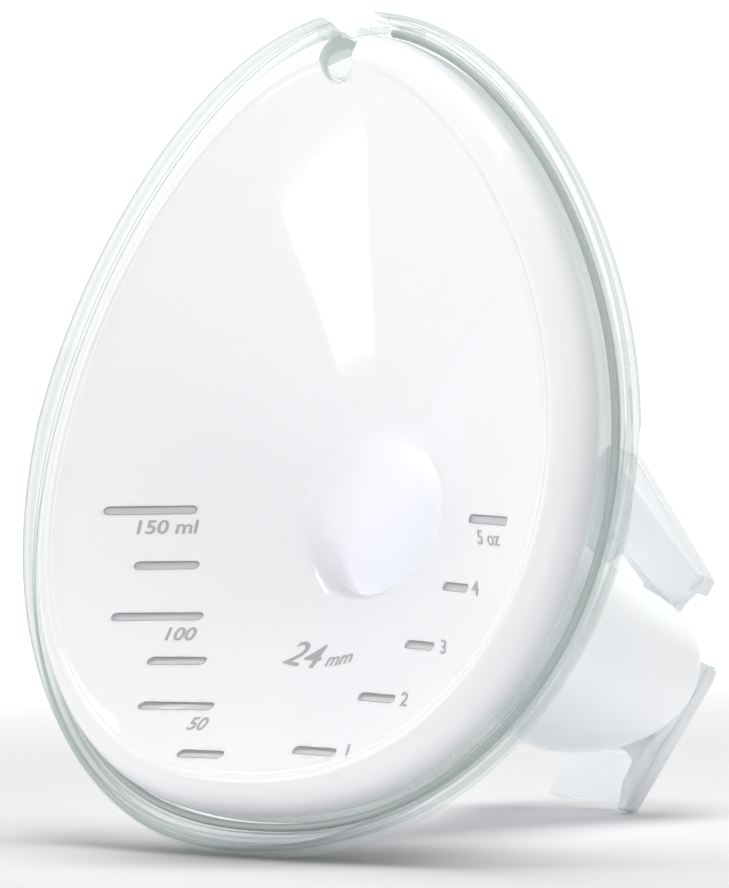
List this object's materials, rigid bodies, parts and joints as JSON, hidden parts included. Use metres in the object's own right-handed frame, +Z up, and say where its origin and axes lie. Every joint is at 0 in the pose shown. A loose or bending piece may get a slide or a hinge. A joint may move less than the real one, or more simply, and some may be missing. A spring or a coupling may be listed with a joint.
{
  "type": "breast pump shield assembly",
  "caption": "Egg-shaped breast shield of a wearable pump with clear rim, tunnel, rear milk chamber, clip frame, moving diaphragm and duckbill valve.",
  "frame": {"origin": "on the floor, under the middle of the bounding box of the standing assembly", "axes": "+Z up, -Y out of the dish towards the wearer, +Y back towards the clip frame, +X to the right when looking into the dish"},
  "size_m": [0.1216, 0.1074, 0.1303],
  "materials": {
    "milky_plastic": "glossy milky polypropylene",
    "clear_plastic": "clear moulded copolyester",
    "frosted_plastic": "frosted polypropylene",
    "clear_silicone": "satin clear silicone",
    "seal_silicone": "satin grey silicone"
  },
  "bodies": {
    "shield_body": {"breast_shield": "milky_plastic", "outer_rim": "clear_plastic", "rim_seal": "seal_silicone", "pour_spout": "clear_plastic", "tunnel_seal": "seal_silicone", "milk_chamber": "frosted_plastic", "clip_frame": "frosted_plastic", "milk_outlet": "frosted_plastic", "membrane_bead": "clear_silicone", "valve_body": "clear_silicone"},
    "diaphragm": {"membrane": "clear_silicone"},
    "front_lip": {"valve_lip_front": "clear_silicone"},
    "rear_lip": {"valve_lip_rear": "clear_silicone"}
  },
  "joints": [
    {"name": "diaphragm_stroke", "type": "slide", "parent": "shield_body", "child": "diaphragm", "axis": [0, 0.9657, -0.2595], "range_m": [-0.0025, 0.0025]},
    {"name": "front_lip_open", "type": "hinge", "parent": "shield_body", "child": "front_lip", "pos_m": [0, 0.03973, 0.00496], "axis": [-1, 0, 0], "range_deg": [0, 15]},
    {"name": "rear_lip_open", "type": "hinge", "parent": "shield_body", "child": "rear_lip", "pos_m": [0, 0.0407, 0.0047], "axis": [1, 0, 0], "range_deg": [0, 15]}
  ],
  "couplings": [
    {"joint": "rear_lip_open", "follows": "front_lip_open", "ratio": 1}
  ]
}
